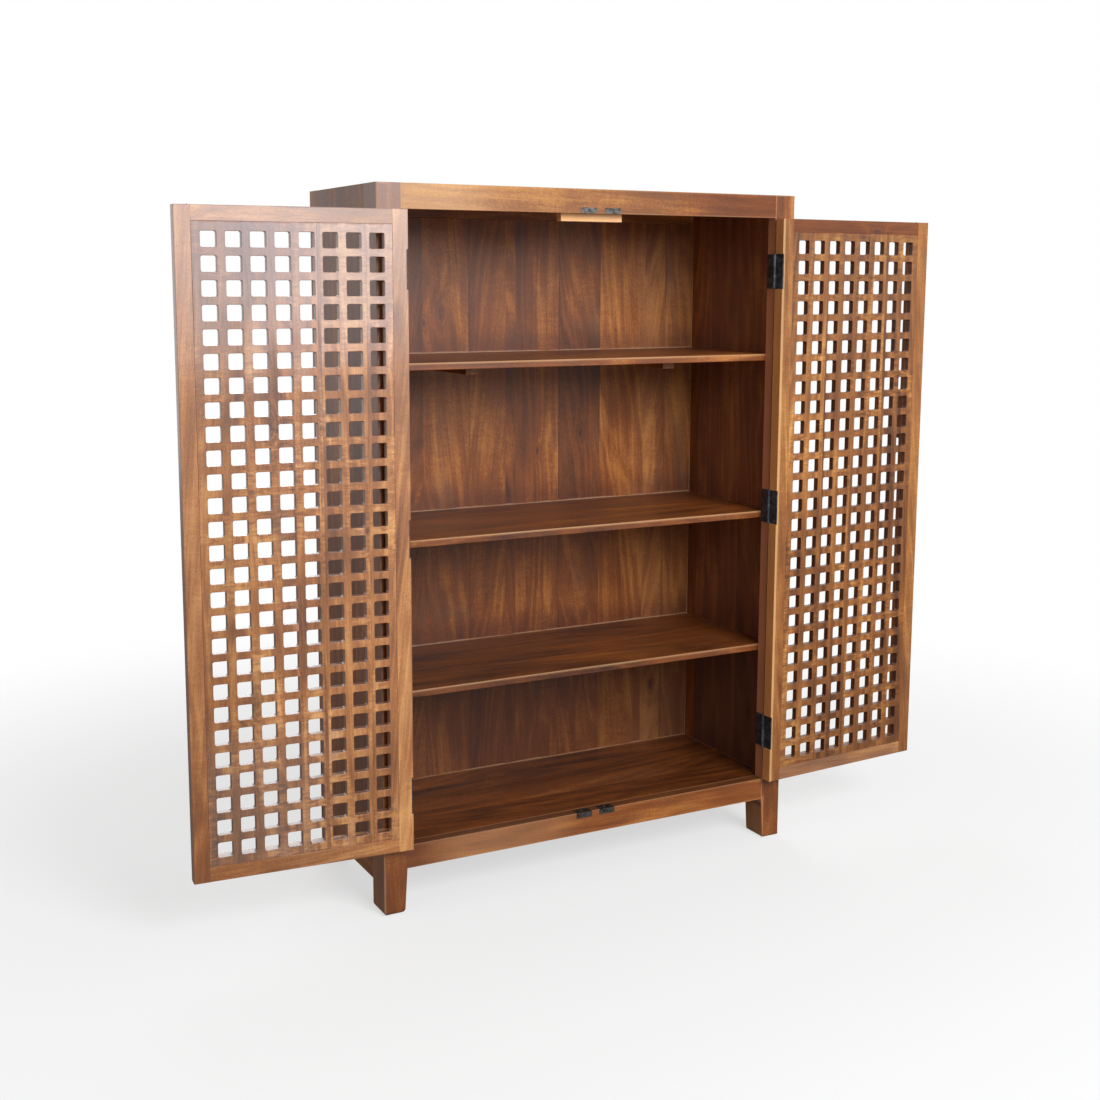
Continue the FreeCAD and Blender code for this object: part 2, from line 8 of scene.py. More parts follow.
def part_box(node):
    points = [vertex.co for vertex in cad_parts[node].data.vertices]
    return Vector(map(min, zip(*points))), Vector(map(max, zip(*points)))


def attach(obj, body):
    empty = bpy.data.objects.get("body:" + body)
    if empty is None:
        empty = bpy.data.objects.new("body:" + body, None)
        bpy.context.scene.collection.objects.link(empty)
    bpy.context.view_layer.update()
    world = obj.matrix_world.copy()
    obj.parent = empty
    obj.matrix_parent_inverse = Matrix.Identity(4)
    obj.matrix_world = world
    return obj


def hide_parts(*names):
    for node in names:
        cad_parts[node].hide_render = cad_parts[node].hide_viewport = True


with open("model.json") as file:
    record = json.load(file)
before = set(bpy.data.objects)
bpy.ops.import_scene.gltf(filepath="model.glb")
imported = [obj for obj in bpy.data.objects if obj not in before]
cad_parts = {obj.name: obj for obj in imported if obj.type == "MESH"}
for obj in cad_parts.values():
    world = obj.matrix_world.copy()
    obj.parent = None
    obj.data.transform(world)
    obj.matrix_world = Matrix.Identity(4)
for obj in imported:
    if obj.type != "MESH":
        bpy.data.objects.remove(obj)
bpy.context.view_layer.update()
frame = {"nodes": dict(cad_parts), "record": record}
nodes = frame["nodes"]
bodies = frame["record"]["behaviour"]["bodies"]
bodyOf = {name: body for body, names in bodies.items() for name in names}
slotOf = {part["node"]: part["material_slot"] for part in frame["record"]["subparts"]}
print("frame:", len(nodes), "nodes")


def linked(name, data):
    # a new object in the scene
    piece = bpy.data.objects.new(name, data)
    bpy.context.scene.collection.objects.link(piece)
    return piece


def shaped(name, mesh, finish):
    # a finished bmesh as an object with one material
    data = bpy.data.meshes.new(name)
    mesh.to_mesh(data)
    mesh.free()
    data.materials.append(finish)
    return linked(name, data)


# The camera stands where the photograph was taken from.
viewpoint = {
    "place": (-1.57384, -2.88746, 1.31612),
    "turn": (81.7374, -0.1414, -27.6400),  # degrees about x, y and z
    "lens": 48.105,
    "shift": (0.0135, -0.0532),
    "clip": (0.05, 60),
}
lens = bpy.data.cameras.new("viewpoint")
lens.lens = viewpoint["lens"]
lens.shift_x, lens.shift_y = viewpoint["shift"]
lens.clip_start, lens.clip_end = viewpoint["clip"]
camera = linked("viewpoint", lens)
camera.location = viewpoint["place"]
camera.rotation_euler = [math.radians(angle) for angle in viewpoint["turn"]]
bpy.context.scene.camera = camera
bpy.context.scene.view_settings.view_transform = "Standard"
print("camera placed")


def paint(red, green, blue):
    # a screen colour from 0 to 255 as the linear colour that a shader takes
    def straight(part):
        part = part / 255
        return part / 12.92 if part <= 0.04045 else ((part + 0.055) / 1.055) ** 2.4
    return (straight(red), straight(green), straight(blue), 1.0)


class Flow:
    # one output of a node, so that sums on it read as sums
    def __init__(self, bench, socket):
        self.bench = bench
        self.socket = socket

    def maths(self, operation, *values):
        return self.bench.add("ShaderNodeMath", {"operation": operation}, dict(enumerate(values)))

    def alone(self, operation):
        return self.maths(operation, self)

    def __add__(self, other):
        return self.maths("ADD", self, other)

    def __sub__(self, other):
        return self.maths("SUBTRACT", self, other)

    def __rsub__(self, other):
        return self.maths("SUBTRACT", other, self)

    def __mul__(self, other):
        return self.maths("MULTIPLY", self, other)

    def __truediv__(self, other):
        return self.maths("DIVIDE", self, other)

    def __rtruediv__(self, other):
        return self.maths("DIVIDE", other, self)

    def __pow__(self, other):
        return self.maths("POWER", self, other)

    __radd__ = __add__
    __rmul__ = __mul__

    def least(self, other):
        return self.maths("MINIMUM", self, other)

    def most(self, other):
        return self.maths("MAXIMUM", self, other)

    def output(self, name):
        # another output of the same node
        return Flow(self.bench, self.socket.node.outputs[name])

    def between(self, start, end, low=0.0, high=1.0):
        # eased from low at start to high at end
        return self.bench.add("ShaderNodeMapRange", {"interpolation_type": "SMOOTHSTEP"},
                              {0: self, 1: start, 2: end, 3: low, 4: high})


class Bench:
    # a material or a sky being made, one node after another
    def __init__(self, name, kind="materials"):
        self.made = getattr(bpy.data, kind).new(name)
        self.made.use_nodes = True
        self.tree = self.made.node_tree
        self.tree.nodes.clear()

    def add(self, kind, settings=None, inputs=None, output=0):
        node = self.tree.nodes.new(kind)
        for key, value in (settings or {}).items():
            if key == "stops":
                ramp = node.color_ramp
                ramp.elements.remove(ramp.elements[1])
                ramp.elements[0].position, ramp.elements[0].color = value[0]
                for place, colour in value[1:]:
                    ramp.elements.new(place).color = colour
            elif key == "steps":
                node.color_ramp.interpolation = value
            else:
                setattr(node, key, value)
        for key, value in (inputs or {}).items():
            if isinstance(value, Flow):
                self.tree.links.new(value.socket, node.inputs[key])
            else:
                node.inputs[key].default_value = value
        return Flow(self, node.outputs[output]) if node.outputs else None

    def vector(self, operation, *values, output=0):
        return self.add("ShaderNodeVectorMath", {"operation": operation}, dict(enumerate(values)), output)

    def mix(self, share, first, second, blend="MIX"):
        return self.add("ShaderNodeMix", {"data_type": "RGBA", "blend_type": blend},
                        {0: share, 6: first, 7: second}, 2)

    def noise(self, place, stretch, detail=2.0, rough=0.5, warp=0.0):
        spread = self.vector("MULTIPLY", place, stretch)
        return self.add("ShaderNodeTexNoise", {}, {"Vector": spread, "Scale": 1.0, "Detail": detail,
                                                   "Roughness": rough, "Distortion": warp})

    def finish(self, shader, output="ShaderNodeOutputMaterial"):
        self.add(output, {}, {0: shader})
        return self.made


# The floor fades out into a sky that is white to the eye and weaker as a light.
white = (1.0, 1.0, 1.0, 1.0)
skyLight = 0.33
floorLook = {
    "radius": 7.0,
    "sides": 96,
    "colour": (240, 239, 237),
    "speck": (222, 220, 217),
    "speckFine": (40.0, 40.0, 40.0),
    "speckShare": 0.05,
    "bounce": (158, 154, 148),  # what the cabinet gets back from it
    "lift": 0.6,                # how much of the shadow on it is taken away
    "fade": (0.9, 2.6),         # metres from the middle
    "rough": 0.75,
    "shine": 0.2,
}
lamps = {
    "place": {"key": (0.45, -4.2, 2.8), "rear": (1.0, 4.2, 2.6)},
    "power": {"key": 226.0, "rear": 55.0},
    "target": (0.0, -0.1, 0.8),
    "size": 2.6,
    "colour": (0.93, 0.97, 1.0),
}


def floorFinish():
    bench = Bench("paleFloor")
    place = bench.add("ShaderNodeTexCoord", output="Object")
    away = bench.vector("LENGTH", place, output=1)
    grain = bench.noise(place, floorLook["speckFine"], 3.0)
    tone = bench.mix(grain * floorLook["speckShare"], paint(*floorLook["colour"]), paint(*floorLook["speck"]))
    seen = bench.add("ShaderNodeLightPath")
    tone = bench.mix(seen, paint(*floorLook["bounce"]), tone)
    floor = bench.add("ShaderNodeBsdfPrincipled", {}, {
        "Base Color": tone, "Roughness": floorLook["rough"], "Specular IOR Level": floorLook["shine"]})
    lift = bench.add("ShaderNodeEmission", {}, {"Color": white})
    floor = bench.add("ShaderNodeMixShader", {}, {0: seen * floorLook["lift"], 1: floor, 2: lift})
    clear = bench.add("ShaderNodeBsdfTransparent")
    edge = away.between(*floorLook["fade"]) * seen
    return bench.finish(bench.add("ShaderNodeMixShader", {}, {0: edge, 1: floor, 2: clear}))


def floorPiece():
    mesh = bmesh.new()
    bmesh.ops.create_circle(mesh, cap_ends=True, segments=floorLook["sides"], radius=floorLook["radius"])
    shaped("floor", mesh, floorFinish())


def sky():
    bench = Bench("sky", "worlds")
    ray = bench.add("ShaderNodeLightPath")
    seen = ray.most(ray.output("Is Glossy Ray")).most(ray.output("Is Transmission Ray"))
    level = seen * (1.0 - skyLight) + skyLight
    glow = bench.add("ShaderNodeBackground", {}, {"Color": white, "Strength": level})
    bpy.context.scene.world = bench.finish(glow, "ShaderNodeOutputWorld")


def lamp(name):
    data = bpy.data.lights.new(name, "AREA")
    data.color = lamps["colour"]
    data.shape = "DISK"
    data.size = lamps["size"]
    data.energy = lamps["power"][name]
    place = lamps["place"][name]
    bulb = linked(name, data)
    bulb.location = place
    bulb.rotation_euler = (Vector(lamps["target"]) - Vector(place)).to_track_quat("-Z", "Y").to_euler()


floorPiece()
sky()
lamp("key")
lamp("rear")
print("studio ready")

# Wood. A door's grain lies in its own straight frame, with the hinge's pin as the origin.
foldPast = math.radians(4)  # the doors stand this far past a half turn
hang = {
    "left_door": {"pin": (-0.4495, -0.1815, 0.0), "turn": -foldPast},
    "right_door": {"pin": (0.4495, -0.1815, 0.0), "turn": foldPast},
    "case": None,
}
caseStain = {"dark": (50, 21, 8), "mid": (134, 71, 26), "light": (206, 134, 62)}
# painted light: the left door is given a lighter copy of the right door's stain
doorStain = {
    "left": {"dark": (86, 44, 24), "mid": (168, 105, 55), "light": (226, 164, 100)},
    "right": {"dark": (78, 40, 16), "mid": (154, 94, 42), "light": (212, 150, 80)},
}
common = {
    "grain": "zxy",      # the axes along the grain, across it and into the depth
    "stain": caseStain,
    # each plank's start across the board, from 0 to 1, and its tone
    "planks": [(0.0, 0.5)],
    "lineWidth": 0.0007,
    "lineShade": 0.3,
    "lineColour": (48, 25, 15),
    "slant": 0.10,       # how far planks' grain may lean
    "rings": 22.0,       # growth rings to a metre across
    "swirl": 8.0,        # how far the slow figure bends them
    "figure": 0.30,      # how strong the rings and the slow figure are
    "streak": 0.42,
    "fibre": 0.28,
    "speck": 0.5,
    "mottle": 0.30,      # broad light and dark patches
    "curl": 0.10,        # short marks across the grain
    "poreShade": 0.25,
    "poreColour": (52, 28, 16),
    "smoke": 0.35,       # dull patches
    "smokeColour": (84, 54, 40),
    "knots": [],         # along, across, size and strength of each
    "eye": 0.6,          # how dark a knot's middle is
    "eyeColour": (52, 27, 18),
    "halo": 0.35,        # how dark the ring round it is
    "haloColour": (84, 42, 26),
    "washes": [],
    # pale corner lines of dust, with a painted highlight along the joint
    "dustAndHighlight": [],          # an axis, the place on it and the width of each line
    "dustAndHighlightShare": 0.6,
    "dustAndHighlightSide": None,
    "dustAndHighlightColour": (176, 138, 108),
    "rubStart": 0.0004,
    "rubWidth": 0.0030,
    "worn": (206, 158, 112),
    "wear": 0.22,        # how far the edges are rubbed to the worn colour
    "wearSide": None,
    "holes": None,
    "holeShade": 0.8,
    "holeColour": (74, 40, 25),
    "rimShade": 0.4,
    "rimColour": (132, 68, 44),
    "rough": 0.42,
    "shine": 0.42,
    "coat": 0.12,
    "coatRough": 0.32,
    "bump": 0.35,
    "bumpDepth": 0.0006,
    "seed": 0.0,
}
# how fine each noise is along the grain, across it and in the depth, then detail, roughness and warp
noises = {
    "slow": ((1.1, 6.0, 6.0), 2.0, 0.5, 0.8),
    "patch": ((4.5, 11.0, 11.0), 2.5, 0.5, 0.6),
    "haze": ((3.0, 6.0, 6.0), 3.0, 0.6, 0.6),
    "streak": ((1.8, 48.0, 48.0), 3.0, 0.6, 0.3),
    "curl": ((110.0, 26.0, 26.0), 2.0, 0.5, 1.2),
    "fleck": ((7.0, 190.0, 190.0), 3.0, 0.7),
    "speck": ((260.0, 420.0, 420.0), 2.0, 0.6),
    "pore": ((45.0, 900.0, 900.0), 1.0, 0.5),
}
# how much each part of the figure moves the tone at a setting of 1
weight = {"ring": 0.45, "slow": 2.4, "fleck": 1.6, "patch": 2.2, "curl": 3.0, "plank": 0.9}


def reach(name):
    # lowest and highest corner of a node in its own body's straight frame
    hung = hang[bodyOf[name]]
    points = [vertex.co for vertex in nodes[name].data.vertices]
    if hung:
        back = Matrix.Rotation(-hung["turn"], 3, "Z")
        points = [back @ (point - Vector(hung["pin"])) for point in points]
    low = [min(point[i] for point in points) for i in range(3)]
    high = [max(point[i] for point in points) for i in range(3)]
    return dict(zip("xyz", low)), dict(zip("xyz", high))


def planked(bench, look, across, low, high):
    # red is the plank's tone, green the glue line and blue the plank's own shift
    width = high - low
    line = look["lineWidth"] / width
    stops = []
    for order, (start, tone) in enumerate(look["planks"]):
        shift = (order * 0.37 + look["seed"]) % 1.0
        if order:
            stops.append((start - line, (tone, 1.0, shift, 1.0)))
        stops.append((start + (line if order else 0.0), (tone, 0.0, shift, 1.0)))
    share = (across - low) / width
    board = bench.add("ShaderNodeValToRGB", {"stops": stops, "steps": "CONSTANT"}, {0: share})
    return bench.add("ShaderNodeSeparateColor", {}, {0: board})


def knotted(bench, knots, along, across):
    # how near the knots are, each a dark eye
    flat = bench.add("ShaderNodeCombineXYZ", {}, {0: along, 1: across})
    eye = None
    for alongKnot, acrossKnot, size, strength in knots:
        apart = bench.vector("SUBTRACT", flat, (alongKnot, acrossKnot, 0.0))
        apart = bench.vector("MULTIPLY", apart, (0.42 / size, 1.0 / size, 0.0))  # a knot is long in the grain
        away = bench.vector("LENGTH", apart, output=1)
        close = strength / (1.0 + away * away)
        eye = close if eye is None else eye + close
    return eye


def washed(bench, colour, wash, axis, patch):
    spread = axis[wash["axis"]].between(wash["start"], wash["end"])
    if "stop" in wash:
        spread = spread * axis[wash["axis"]].between(*wash["stop"])
    if "side" in wash:
        letter, start, end = wash["side"]
        spread = spread * axis[letter].between(start, end)
    if "broken" in wash:
        spread = (spread + (patch - 0.5) * wash["broken"]).between(0.15, 0.85)
    return bench.mix(spread * wash["share"], colour, paint(*wash["colour"]), wash["blend"])


def holeRim(axis, holes):
    # metres from the nearest hole's edge, below nothing inside it
    ways = []
    for letter in "xz":
        first, pitch = holes[letter]
        turn = (axis[letter] - first) / pitch
        ways.append(((turn - turn.alone("ROUND")) * pitch).alone("ABSOLUTE"))
    return ways[0].most(ways[1]) - holes["half"]


def woodFinish(name, changes):
    look = {**common, **changes}
    low, high = reach(name)
    bench = Bench(name + "_finish")
    spot = bench.add("ShaderNodeTexCoord", output="Object")
    hung = hang[bodyOf[name]]
    if hung:
        spot = bench.add("ShaderNodeMapping", {"vector_type": "TEXTURE"},
                         {"Vector": spot, "Location": hung["pin"], "Rotation": (0.0, 0.0, hung["turn"])})
    parts = bench.add("ShaderNodeSeparateXYZ", {}, {0: spot})
    axis = {"x": parts, "y": parts.output("Y"), "z": parts.output("Z")}
    along, across, depth = (axis[letter] for letter in look["grain"])
    sideways = look["grain"][1]
    tone = planked(bench, look, across, low[sideways], high[sideways])
    glue, shift = tone.output("Green"), tone.output("Blue")

    # each plank lies in its own place in the noises, its grain a little aslant
    lean = ((shift * 7.3).alone("FRACT") - 0.5) * look["slant"] * 2.0
    leant = across + along * lean
    lay = bench.add("ShaderNodeCombineXYZ", {}, {
        0: along + shift * 9.0 + look["seed"] * 5.0, 1: leant + shift * 3.0, 2: depth + look["seed"]})
    slow, patch, haze, streak, curl, fleck, speck, pore = [bench.noise(lay, *kind) for kind in noises.values()]
    eye = None
    if look["knots"]:
        eye = knotted(bench, look["knots"], along + (patch - 0.5) * 0.02, across + (slow - 0.5) * 0.02)

    # growth rings, which bend round the knots
    turns = leant * look["rings"] + slow * look["swirl"]
    if eye:
        turns = turns + eye * 4.0
    ring = ((turns * 6.2832).alone("SINE") * 0.5 + 0.5) ** 1.6
    value = (0.5 + (ring - 0.4) * look["figure"] * weight["ring"]
             + (slow - 0.5) * look["figure"] * weight["slow"]
             + (streak - 0.5) * look["streak"] + (fleck - 0.5) * look["fibre"] * weight["fleck"]
             + (speck - 0.5) * look["speck"] + (patch - 0.5) * look["mottle"] * weight["patch"]
             + (curl - 0.5) * patch.between(0.42, 0.6) * look["curl"] * weight["curl"]
             + (tone - 0.5) * weight["plank"])
    stain = {word: paint(*tint) for word, tint in look["stain"].items()}
    stops = [(0.0, stain["dark"]), (0.5, stain["mid"]), (1.0, stain["light"])]
    colour = bench.add("ShaderNodeValToRGB", {"stops": stops}, {0: value})
    dashes = pore.between(0.60, 0.74)
    colour = bench.mix(dashes * look["poreShade"], colour, paint(*look["poreColour"]))
    colour = bench.mix(haze.between(0.54, 0.74) * look["smoke"], colour, paint(*look["smokeColour"]))
    for wash in look["washes"]:
        colour = washed(bench, colour, wash, axis, patch)
    if eye:
        colour = bench.mix(eye.between(0.10, 0.55) * look["halo"], colour, paint(*look["haloColour"]))
        colour = bench.mix(eye.between(0.45, 0.95) * look["eye"], colour, paint(*look["eyeColour"]))
    colour = bench.mix(glue * look["lineShade"], colour, paint(*look["lineColour"]))

    # rubbed edges: how near the two closest outer faces meet
    gaps = [(axis[letter] - low[letter]).least(high[letter] - axis[letter]) for letter in "xyz"]
    middle = gaps[0].least(gaps[1]).most(gaps[0].most(gaps[1]).least(gaps[2]))
    ragged = middle + (patch - 0.5) * 0.004 + (fleck - 0.5) * 0.003
    rub = ragged.between(look["rubStart"], look["rubWidth"], 1.0, 0.0)
    if look["wearSide"]:
        letter, start, end = look["wearSide"]
        rub = rub * axis[letter].between(start, end)

    # holes: dark inside, end grain taking more stain with painted shade, ruddy on the face round them
    if look["holes"]:
        rim = holeRim(axis, look["holes"])
        inside = (rim + (fleck - 0.5) * 0.0012).between(-0.0002, 0.0009, 1.0, 0.0)
        depthIn = gaps[1].between(0.0004, 0.0035)
        colour = bench.mix(inside * depthIn * look["holeShade"], colour, paint(*look["holeColour"]))
        ruddy = (rim + (patch - 0.5) * 0.0012).between(0.0002, 0.0016, 1.0, 0.0) * (1.0 - depthIn)
        colour = bench.mix(ruddy * look["rimShade"], colour, paint(*look["rimColour"]))
    colour = bench.mix(rub * look["wear"], colour, paint(*look["worn"]))

    # pale lines in the corners where boards meet: dust, with a painted highlight along the joint
    for letter, place, width in look["dustAndHighlight"]:
        near = (axis[letter] - place).alone("ABSOLUTE") / width
        near = (near + (patch - 0.5) * 3.6 + (speck - 0.5) * 2.0).between(0.3, 1.3, 1.0, 0.0)
        if look["dustAndHighlightSide"]:
            letter, start, end = look["dustAndHighlightSide"]
            near = near * axis[letter].between(start, end)
        colour = bench.mix(near * look["dustAndHighlightShare"], colour, paint(*look["dustAndHighlightColour"]))

    rough = look["rough"] + (fleck - 0.5) * 0.16 + (patch - 0.5) * 0.18 + rub * 0.12
    height = fleck * 0.5 + ring * 0.2 - dashes * 0.5 - glue * 1.2
    bump = bench.add("ShaderNodeBump", {}, {
        "Strength": look["bump"], "Distance": look["bumpDepth"], "Height": height})
    return bench.finish(bench.add("ShaderNodeBsdfPrincipled", {}, {
        "Base Color": colour, "Roughness": rough, "Normal": bump, "Specular IOR Level": look["shine"],
        "Coat Weight": look["coat"], "Coat Roughness": look["coatRough"]}))


easing = {
    "case": 0.0012,      # metres taken off each outer edge
    "stop": 0.0010,
    "door": 0.0007,
    "steps": 2,
    "soleSteps": 4,
    "cornerSteps": 3,
    "sharp": 35,         # edges that turn by more degrees are eased
    "flat": 0.5,         # faces that turn by fewer degrees become one
    "postLength": 1.0,   # only a post's own corner is longer
    "near": 0.0001,
    "weld": 0.00001,
}
plainFoot = {"corner": 0.0028, "sole": 0.0050}
feet = {
    "left_front_post": {"corner": 0.0032, "sole": 0.0100},
    "right_front_post": plainFoot,
    "left_rear_post": plainFoot,
    "right_rear_post": plainFoot,
}


def rounded(mesh, edges, width, steps, smooth=True):
    eased = bmesh.ops.bevel(mesh, geom=edges, offset=width, offset_type="OFFSET", segments=steps, profile=0.5,
                            affect="EDGES", clamp_overlap=True, material=-1)
    for face in eased["faces"]:
        face.smooth = smooth


def standsFor(name, mesh, finish):
    # the finished mesh as a piece that rides and is named for the node it stands for
    piece = shaped(name + "_eased", mesh, finish)
    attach(piece, bodyOf[name])
    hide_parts(name)
    return piece


def atCorner(edge, outX, outY):
    # whether a long edge is the outermost one of its post
    return edge.calc_length() > easing["postLength"] and all(
        abs(abs(vertex.co.x) - outX) + abs(vertex.co.y - outY) < easing["near"] for vertex in edge.verts)


def dress(name, width, finish, foot=None):
    # the node's own shape with its outer edges eased
    mesh = bmesh.new()
    mesh.from_mesh(nodes[name].data)
    bmesh.ops.remove_doubles(mesh, verts=mesh.verts, dist=easing["weld"])
    bmesh.ops.dissolve_limit(mesh, angle_limit=math.radians(easing["flat"]), verts=mesh.verts, edges=mesh.edges)
    if foot:
        low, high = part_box(name)
        outX = max(abs(low[0]), abs(high[0]))
        outY = low[1] if low[1] < 0 else high[1]
        sole = [edge for edge in mesh.edges if all(vertex.co.z < easing["near"] for vertex in edge.verts)]
        rounded(mesh, sole, foot["sole"], easing["soleSteps"])
        corner = [edge for edge in mesh.edges if atCorner(edge, outX, outY)]
        rounded(mesh, corner, foot["corner"], easing["cornerSteps"])
    sharp = [edge for edge in mesh.edges if len(edge.link_faces) == 2
             and edge.calc_face_angle_signed(0.0) > math.radians(easing["sharp"])]
    rounded(mesh, sharp, width, easing["steps"])
    standsFor(name, mesh, finish)


def hazed(axis, start, end, colour, share=1.0, blend="MIX", **more):
    # a wash over the stain that sets in from start to end along an axis
    return {"axis": axis, "start": start, "end": end, "colour": colour, "share": share, "blend": blend, **more}


# a wash that screens a colour over the stain and lightens it
def lightened(*wash, **more):
    return hazed(*wash, blend="SCREEN", **more)


def deepened(*wash, **more):
    return hazed(*wash, blend="MULTIPLY", **more)


# The case: posts and rails are single lengths, the wide boards are glued up from planks.
innerSide = ("y", 0.1960, 0.1945)  # the back's inner face
shelfTops = (0.46806, 0.78404, 1.14601)
# painted shade: the inside darker towards the bottom
lowPaintedShade = hazed("z", 0.62, 0.18, (54, 25, 14), 0.50)
# painted shade on the back just above each shelf, in the corner where they meet
cornerPaintedShade = [deepened("z", top + 0.075, top + 0.008, (206, 192, 180), stop=(top - 0.012, top - 0.004),
                        side=innerSide) for top in shelfTops]
# pale lines where the boards meet: dust, with a painted highlight along the joint
boardDustAndHighlight = [("y", 0.1935, 0.003), ("x", 0.4815, 0.003)]
shelf = {"grain": "xyz", "rubWidth": 0.0055, "wear": 0.65, "dustAndHighlight": boardDustAndHighlight}
caseWood = {
    "left_front_post": {
        "grain": "zxy", "seed": 0.11, "coat": 0.3,
        "rubWidth": 0.0045, "wear": 0.4, "worn": (204, 160, 130), "wearSide": ("x", -0.47, -0.49),
        # painted sheen: paler and greyer towards the top; painted shade: darker towards the floor; painted
        # light on the foot's outer side
        "washes": [hazed("z", 1.0, 1.45, (134, 108, 99), 0.5),
                   hazed("z", 0.5, 0.1, (96, 52, 28), 0.35),
                   hazed("x", -0.5030, -0.5038, (150, 104, 72), 0.35, side=("z", 0.16, 0.10))]},
    "right_front_post": {
        "grain": "zxy", "seed": 0.27, "planks": [(0.0, 0.56)],
        # painted shade: darker towards the floor; painted light on the foot by its inner edge and on the reveal
        # beside the door, which stands in the door's shadow
        "washes": [hazed("z", 0.5, 0.1, (96, 52, 28), 0.3),
                   hazed("x", 0.4600, 0.4590, (206, 138, 90), 0.45, stop=(0.4528, 0.4536),
                         side=("z", 0.110, 0.098)),
                   hazed("x", 0.4530, 0.4522, (198, 128, 92), 0.95)]},
    "left_rear_post": {"grain": "zyx", "seed": 0.41},
    "right_rear_post": {"grain": "zyx", "seed": 0.53},
    "top_rail": {
        "grain": "xzy", "seed": 0.67, "planks": [(0.0, 0.56)],
        "figure": 0.26, "rings": 26.0, "slant": 0.06, "mottle": 0.32, "curl": 0.08, "coat": 0.05,
        "stain": {"dark": (70, 36, 14), "mid": (134, 76, 27), "light": (206, 140, 64)},
        # painted light and shade: lighter towards the left end, darker towards the right end
        "washes": [lightened("x", -0.12, -0.46, (146, 110, 78), broken=0.4),
                   deepened("x", 0.0, 0.42, (222, 194, 112), broken=0.4)]},
    "low_rail": {
        "grain": "xzy", "seed": 0.79, "planks": [(0.0, 0.56)],
        # painted light and shade: lighter towards the left, darker next to the left foot
        "washes": [hazed("x", 0.2, -0.35, (186, 142, 104), 0.3, broken=0.5),
                   deepened("x", -0.32, -0.44, (176, 150, 132)),
                   hazed("z", 0.1456, 0.1468, (88, 48, 29), 0.75)]},
    "back_top_rail": {"grain": "xzy", "seed": 0.13},
    "back_low_rail": {"grain": "xzy", "seed": 0.31},
    "left_side_rail": {"grain": "yzx", "seed": 0.47},
    "right_side_rail": {"grain": "yzx", "seed": 0.59},
    "left_side_panel": {
        "grain": "zyx", "seed": 0.71, "smoke": 0.6,
        "planks": [(0.0, 0.42), (0.31, 0.34), (0.55, 0.46), (0.8, 0.38)]},
    "right_side_panel": {
        "grain": "zyx", "seed": 0.83,
        "planks": [(0.0, 0.46), (0.36, 0.54), (0.62, 0.44), (0.84, 0.5)],
        "knots": [(0.276, -0.078, 0.010, 1.0)],
        "washes": [lowPaintedShade, hazed("x", 0.4830, 0.4824, (104, 80, 84), 0.22)],
        "dustAndHighlight": [("y", 0.193, 0.002)]},
    "back_panel": {
        "grain": "zxy", "seed": 0.05, "streak": 0.34, "slant": 0.18, "eye": 0.7,
        "smoke": 0.55, "smokeColour": (80, 60, 52),
        # the right-hand planks are set lighter, painted light against the shadow of the right post and door
        "planks": [(0.0, 0.5), (0.12, 0.42), (0.245, 0.55), (0.363, 0.46), (0.458, 0.40), (0.487, 0.47),
                   (0.605, 0.48), (0.721, 0.56), (0.849, 0.68), (0.91, 0.64)],
        "knots": [(1.238, -0.204, 0.015, 0.7), (1.214, -0.246, 0.004, 0.9), (0.946, 0.16, 0.006, 1.0),
                  (0.908, 0.046, 0.005, 1.0), (0.294, 0.373, 0.008, 1.1), (0.55, -0.3, 0.006, 0.8)],
        "washes": [lowPaintedShade, *cornerPaintedShade,
                   # painted sheen: greyer towards the right; painted shade low on the left of the lowest
                   # compartment
                   hazed("x", 0.22, 0.42, (116, 86, 68), 0.22, broken=0.6),
                   deepened("x", -0.30, -0.10, (222, 206, 196), 0.8, stop=(0.30, 0.12),
                            side=("z", 0.56, 0.42))],
        "dustAndHighlight": [("z", 1.1465, 0.002), ("z", 0.7845, 0.002), ("z", 0.4685, 0.0018), ("z", 0.1475, 0.0018),
                 ("x", 0.4815, 0.002)],
        "dustAndHighlightSide": innerSide},
    "top_panel": {"grain": "xyz", "seed": 0.19, "planks": [(0.0, 0.5), (0.27, 0.44), (0.55, 0.56), (0.8, 0.5)]},
    # the plank tones grow darker from the high shelf down to the bottom panel, painted shade on the lower
    # boards
    "bottom_panel": {
        "grain": "xyz", "seed": 0.23, "dustAndHighlight": boardDustAndHighlight,
        "planks": [(0.0, 0.22), (0.3, 0.28), (0.52, 0.17), (0.78, 0.23)]},
    "low_shelf": {
        **shelf, "seed": 0.37, "wear": 0.45, "wearSide": ("z", 0.4591, 0.4641),
        "planks": [(0.0, 0.26), (0.34, 0.20), (0.7, 0.28)]},
    "middle_shelf": {
        **shelf, "seed": 0.43, "wearSide": ("z", 0.775, 0.78),
        "planks": [(0.0, 0.32), (0.38, 0.26), (0.66, 0.32)]},
    "high_shelf": {
        **shelf, "seed": 0.61, "wearSide": ("z", 1.137, 1.142),
        "planks": [(0.0, 0.40), (0.42, 0.34), (0.74, 0.40)]},
    "low_shelf_battens": {"grain": "yxz", "seed": 0.73},
    "middle_shelf_battens": {"grain": "yxz", "seed": 0.87},
    "high_shelf_battens": {"grain": "yxz", "seed": 0.91},
}
for name, changes in caseWood.items():
    dress(name, easing["case"], woodFinish(name, changes), feet.get(name))
print("case dressed")

# the stop's stain is set very pale, painted light: it stands in the top rail's shade
stopLook = {
    "grain": "xzy", "seed": 0.35, "figure": 0.2, "mottle": 0.15, "smoke": 0.0,
    "stain": {"dark": (240, 146, 80), "mid": (255, 187, 124), "light": (255, 216, 168)},
    "wear": 0.3, "worn": (246, 214, 176), "rough": 0.6, "coat": 0.0,
}
dress("door_stop", easing["stop"], woodFinish("door_stop", stopLook))
print("stop dressed")

